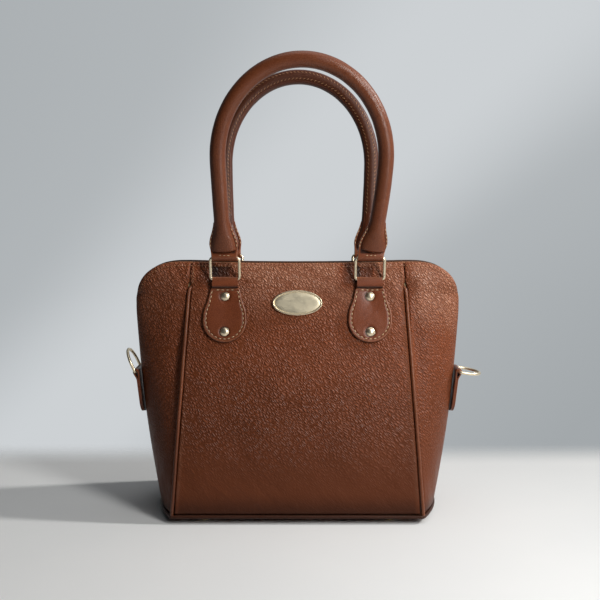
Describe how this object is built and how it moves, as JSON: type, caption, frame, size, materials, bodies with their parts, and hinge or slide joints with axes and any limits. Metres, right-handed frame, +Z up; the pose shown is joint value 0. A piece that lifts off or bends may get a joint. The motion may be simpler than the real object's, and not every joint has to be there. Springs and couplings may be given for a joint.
{
  "type": "top handle bag",
  "caption": "Structured leather top handle bag with a zipped mouth, piped corner seams, rolled handles on hinged metal rings, swinging side rings and metal feet.",
  "frame": {"origin": "on the floor, midway between the four feet", "axes": "+Z up, -Y towards the front panel with the badge, +X to the right as seen from the front"},
  "size_m": [0.3697, 0.1336, 0.4569],
  "materials": {
    "grained_leather": "pebbled grain, semi-matte",
    "smooth_leather": "smooth, satin",
    "piping_leather": "smooth, satin",
    "lining_cloth": "fine twill, matte",
    "stiffening_board": "pressed fibre board, matte",
    "handle_core": "rolled felt cord, matte",
    "light_gold_metal": "light gold plating, polished",
    "zip_tape": "woven tape, matte"
  },
  "bodies": {
    "shell": {"front_panel": "grained_leather", "back_panel": "grained_leather", "wing_front_left": "grained_leather", "wing_front_right": "grained_leather", "wing_back_left": "grained_leather", "wing_back_right": "grained_leather", "base_panel": "grained_leather", "zip_facing_front": "smooth_leather", "zip_facing_back": "smooth_leather", "zip_end_left": "smooth_leather", "zip_end_right": "smooth_leather", "chape_front_left": "smooth_leather", "chape_front_right": "smooth_leather", "chape_back_left": "smooth_leather", "chape_back_right": "smooth_leather", "side_tab_left": "smooth_leather", "side_tab_right": "smooth_leather", "piping_front_left": "piping_leather", "piping_front_right": "piping_leather", "piping_back_left": "piping_leather", "piping_back_right": "piping_leather", "base_piping": "piping_leather", "lining_front": "lining_cloth", "lining_back": "lining_cloth", "lining_base": "lining_cloth", "inner_pocket": "lining_cloth", "base_board": "stiffening_board", "front_board": "stiffening_board", "back_board": "stiffening_board", "zip_teeth_front": "light_gold_metal", "zip_teeth_back": "light_gold_metal", "zip_stops": "light_gold_metal", "rivets_front": "light_gold_metal", "rivets_back": "light_gold_metal", "badge": "light_gold_metal", "feet": "light_gold_metal", "foot_nuts": "light_gold_metal", "zip_tape_front": "zip_tape", "zip_tape_back": "zip_tape"},
    "front_ring_left": {"ring_front_left": "light_gold_metal"},
    "front_ring_right": {"ring_front_right": "light_gold_metal"},
    "front_handle": {"front_handle_cover": "smooth_leather", "front_handle_core": "handle_core", "front_handle_end_left": "smooth_leather", "front_handle_end_right": "smooth_leather"},
    "back_ring_left": {"ring_back_left": "light_gold_metal"},
    "back_ring_right": {"ring_back_right": "light_gold_metal"},
    "back_handle": {"back_handle_cover": "smooth_leather", "back_handle_core": "handle_core", "back_handle_end_left": "smooth_leather", "back_handle_end_right": "smooth_leather"},
    "left_side_ring": {"side_ring_left": "light_gold_metal"},
    "right_side_ring": {"side_ring_right": "light_gold_metal"},
    "slider": {"zip_slider": "light_gold_metal"},
    "pull": {"zip_pull": "light_gold_metal"}
  },
  "joints": [
    {"name": "front_ring_left_swing", "type": "hinge", "parent": "shell", "child": "front_ring_left", "pos_m": [-0.073, -0.01934, 0.2385], "axis": [1, 0, 0], "range_deg": [-7, 110]},
    {"name": "front_ring_right_swing", "type": "hinge", "parent": "shell", "child": "front_ring_right", "pos_m": [0.073, -0.01934, 0.2385], "axis": [1, 0, 0], "range_deg": [-7, 110]},
    {"name": "front_handle_swing", "type": "hinge", "parent": "front_ring_left", "child": "front_handle", "pos_m": [-0.073, -0.023, 0.2604], "axis": [1, 0, 0], "range_deg": [-5, 50]},
    {"name": "back_ring_left_swing", "type": "hinge", "parent": "shell", "child": "back_ring_left", "pos_m": [-0.073, 0.01934, 0.2385], "axis": [-1, 0, 0], "range_deg": [-7, 110]},
    {"name": "back_ring_right_swing", "type": "hinge", "parent": "shell", "child": "back_ring_right", "pos_m": [0.073, 0.01934, 0.2385], "axis": [-1, 0, 0], "range_deg": [-7, 110]},
    {"name": "back_handle_swing", "type": "hinge", "parent": "back_ring_left", "child": "back_handle", "pos_m": [-0.073, 0.023, 0.2604], "axis": [-1, 0, 0], "range_deg": [-5, 50]},
    {"name": "left_side_ring_swing", "type": "hinge", "parent": "shell", "child": "left_side_ring", "pos_m": [-0.16695, 0, 0.142], "axis": [0, -1, 0], "range_deg": [-24, 154]},
    {"name": "right_side_ring_swing", "type": "hinge", "parent": "shell", "child": "right_side_ring", "pos_m": [0.16695, 0, 0.142], "axis": [0, 1, 0], "range_deg": [-98, 80]},
    {"name": "zip_slide", "type": "slide", "parent": "shell", "child": "slider", "axis": [-1, 0, 0], "range_m": [0, 0.24], "deforming": ["zip_teeth_front", "zip_teeth_back"]},
    {"name": "zip_pull_swing", "type": "hinge", "parent": "slider", "child": "pull", "pos_m": [0.12225, 0, 0.25275], "axis": [0, 1, 0], "range_deg": [0, 175]}
  ],
  "couplings": [
    {"joint": "front_ring_right_swing", "follows": "front_ring_left_swing", "ratio": 1},
    {"joint": "back_ring_right_swing", "follows": "back_ring_left_swing", "ratio": 1}
  ]
}
